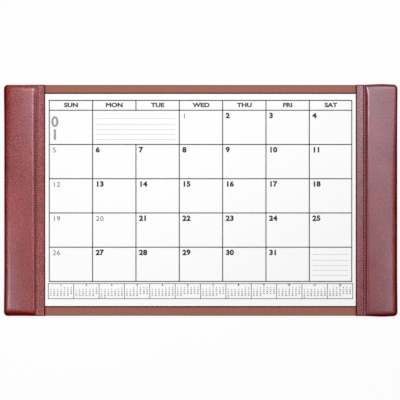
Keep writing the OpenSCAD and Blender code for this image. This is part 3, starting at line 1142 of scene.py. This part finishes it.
# %% [markdown]
# ## Paper, boards, cloth and felt
# The remaining solids keep their shapes and only need their finishes. Each one is a common bindery or
# upholstery material, so its pattern is the fibre, weave or grain that such a material shows up close.

# %% Finishes of the flat pieces
RIM_SHADE_W = 2.4 * MM
WAVE_REPEAT = 0.314  # metres from band to band of a wave texture at scale 1


def grained(name, dark, pale, grain_mm, contrast, roughness, bump_mm, stretch=(1, 1, 1), specular=0.5,
            rim=None):
    """A material whose colour runs between two tones in a noise of a given grain, with a bump to match.

    A rim is a dark colour painted as shade along the front and back edges of the pad.
    """
    material, tree = new_material(name)
    place = add_node(tree, "ShaderNodeTexCoord").outputs["Object"]
    drawn = add_node(tree, "ShaderNodeMapping", values={"Scale": stretch}, links={"Vector": place})
    fibre = add_node(tree, "ShaderNodeTexNoise",
                     values={"Scale": 1 / (grain_mm * MM), "Detail": 5.0, "Roughness": 0.6},
                     links={"Vector": drawn.outputs[0]})
    spread = add_node(tree, "ShaderNodeMapRange",
                      values={"From Min": 0.5 - contrast, "From Max": 0.5 + contrast},
                      links={"Value": fibre.outputs["Fac"]})
    tone = add_node(tree, "ShaderNodeMix", {"data_type": "RGBA"}, {6: linear(dark), 7: linear(pale)},
                    {0: spread.outputs[0]})
    # Painted shade: the pad's front and back edges darken towards the rim colour.
    if rim:
        axes = add_node(tree, "ShaderNodeSeparateXYZ", links={"Vector": place})
        depth = add_node(tree, "ShaderNodeMath", {"operation": "ABSOLUTE"}, links={0: axes.outputs["Y"]})
        rim_shade = add_node(tree, "ShaderNodeMapRange",
                        values={"From Min": y_edge - RIM_SHADE_W, "From Max": y_edge - RIM_SHADE_W / 2},
                        links={"Value": depth.outputs[0]})
        tone = add_node(tree, "ShaderNodeMix", {"data_type": "RGBA"}, {7: linear(rim)},
                        {0: rim_shade.outputs[0], 6: tone.outputs[2]})
    rub = add_node(tree, "ShaderNodeMapRange",
                   values={"To Min": roughness + 0.08, "To Max": roughness - 0.08},
                   links={"Value": fibre.outputs["Fac"]})
    relief = add_node(tree, "ShaderNodeBump", values={"Strength": 0.4, "Distance": bump_mm * MM},
                      links={"Height": fibre.outputs["Fac"]})
    finish_material(tree, {"Specular IOR Level": specular},
                    {"Base Color": tone.outputs[2], "Roughness": rub.outputs[0],
                     "Normal": relief.outputs["Normal"]})
    return material


def woven(name, dark, pale, thread_mm, roughness):
    """A plain weave: two crossed waves, one along X and one along Y."""
    material, tree = new_material(name)
    place = add_node(tree, "ShaderNodeTexCoord").outputs["Object"]
    waves = [add_node(tree, "ShaderNodeTexWave", {"bands_direction": axis},
                      {"Scale": WAVE_REPEAT / (thread_mm * MM)}, {"Vector": place}) for axis in "XY"]
    cross = add_node(tree, "ShaderNodeMath", {"operation": "MULTIPLY"},
                     links={0: waves[0].outputs["Fac"], 1: waves[1].outputs["Fac"]})
    tone = add_node(tree, "ShaderNodeMix", {"data_type": "RGBA"}, {6: linear(dark), 7: linear(pale)},
                    {0: cross.outputs[0]})
    relief = add_node(tree, "ShaderNodeBump", values={"Strength": 0.6, "Distance": 0.2 * MM},
                      links={"Height": cross.outputs[0]})
    finish_material(tree, {"Roughness": roughness},
                    {"Base Color": tone.outputs[2], "Normal": relief.outputs["Normal"]})
    return material


# Coated offset paper: nearly white, with a faint tooth.
paper = grained("white_offset_paper", "#F6F6F5", "#FAFAFA", 1.2, 0.3, 0.85, 0.02, specular=0.2)
# Bonded leatherette: tan coating with an embossed leather grain, and painted shade along
# its front and back edges.
leatherette = grained("tan_leatherette", "#8C5040", "#A26454", 2.4, 0.25, 0.5, 0.25, specular=0.3,
                      rim="#5A2A20")
# Dyed chipboard under the sheets, matt and nearly black red.
chipboard = grained("maroon_chipboard", "#2C0604", "#3A0C08", 1.5, 0.3, 0.9, 0.05, specular=0.1)
# Padding gum: a dried film of red glue, uneven and slightly shiny.
gum = grained("red_padding_gum", "#5E1A16", "#7E2E26", 4.0, 0.2, 0.4, 0.15)
# Pressed wool felt: short fibres that lie every way.
felt = grained("brown_wool_felt", "#2A1C19", "#4A352F", 1.4, 0.2, 0.95, 0.5)
# Hardboard: pressed wood fibre, drawn a little along the sheet.
hardboard = grained("pressed_hardboard", "#5A4330", "#80644A", 2.0, 0.25, 0.7, 0.1, stretch=(0.4, 1, 1))
# Greyboard: recycled paper board with specks.
greyboard = grained("recycled_greyboard", "#7C766B", "#A39C8E", 1.6, 0.2, 0.9, 0.1)
# Lining cloth: a plain cotton weave, with threads drawn at twice their real width to show.
lining = woven("burgundy_lining_cloth", "#32100F", "#6A2C2A", 1.0, 0.9)


def dress(node, material):
    """Gives a solid of the frame its finish."""
    slots = frame["nodes"][node].data.materials
    slots.clear()
    slots.append(material)


for month in MONTHS:
    dress(f"{month}_sheet", paper)
for node, material in (("base_cover", leatherette), ("calendar_backing", chipboard),
                       ("calendar_gum_strip", gum), ("felt_backing", felt), ("base_board", hardboard)):
    dress(node, material)
for side in SIDES:
    for part, material in (("packing_strip", greyboard), ("rail_core", greyboard),
                           ("rail_lining", lining), ("flap_lining", lining)):
        dress(f"{side}_{part}", material)
print("finishes given to the flat pieces")
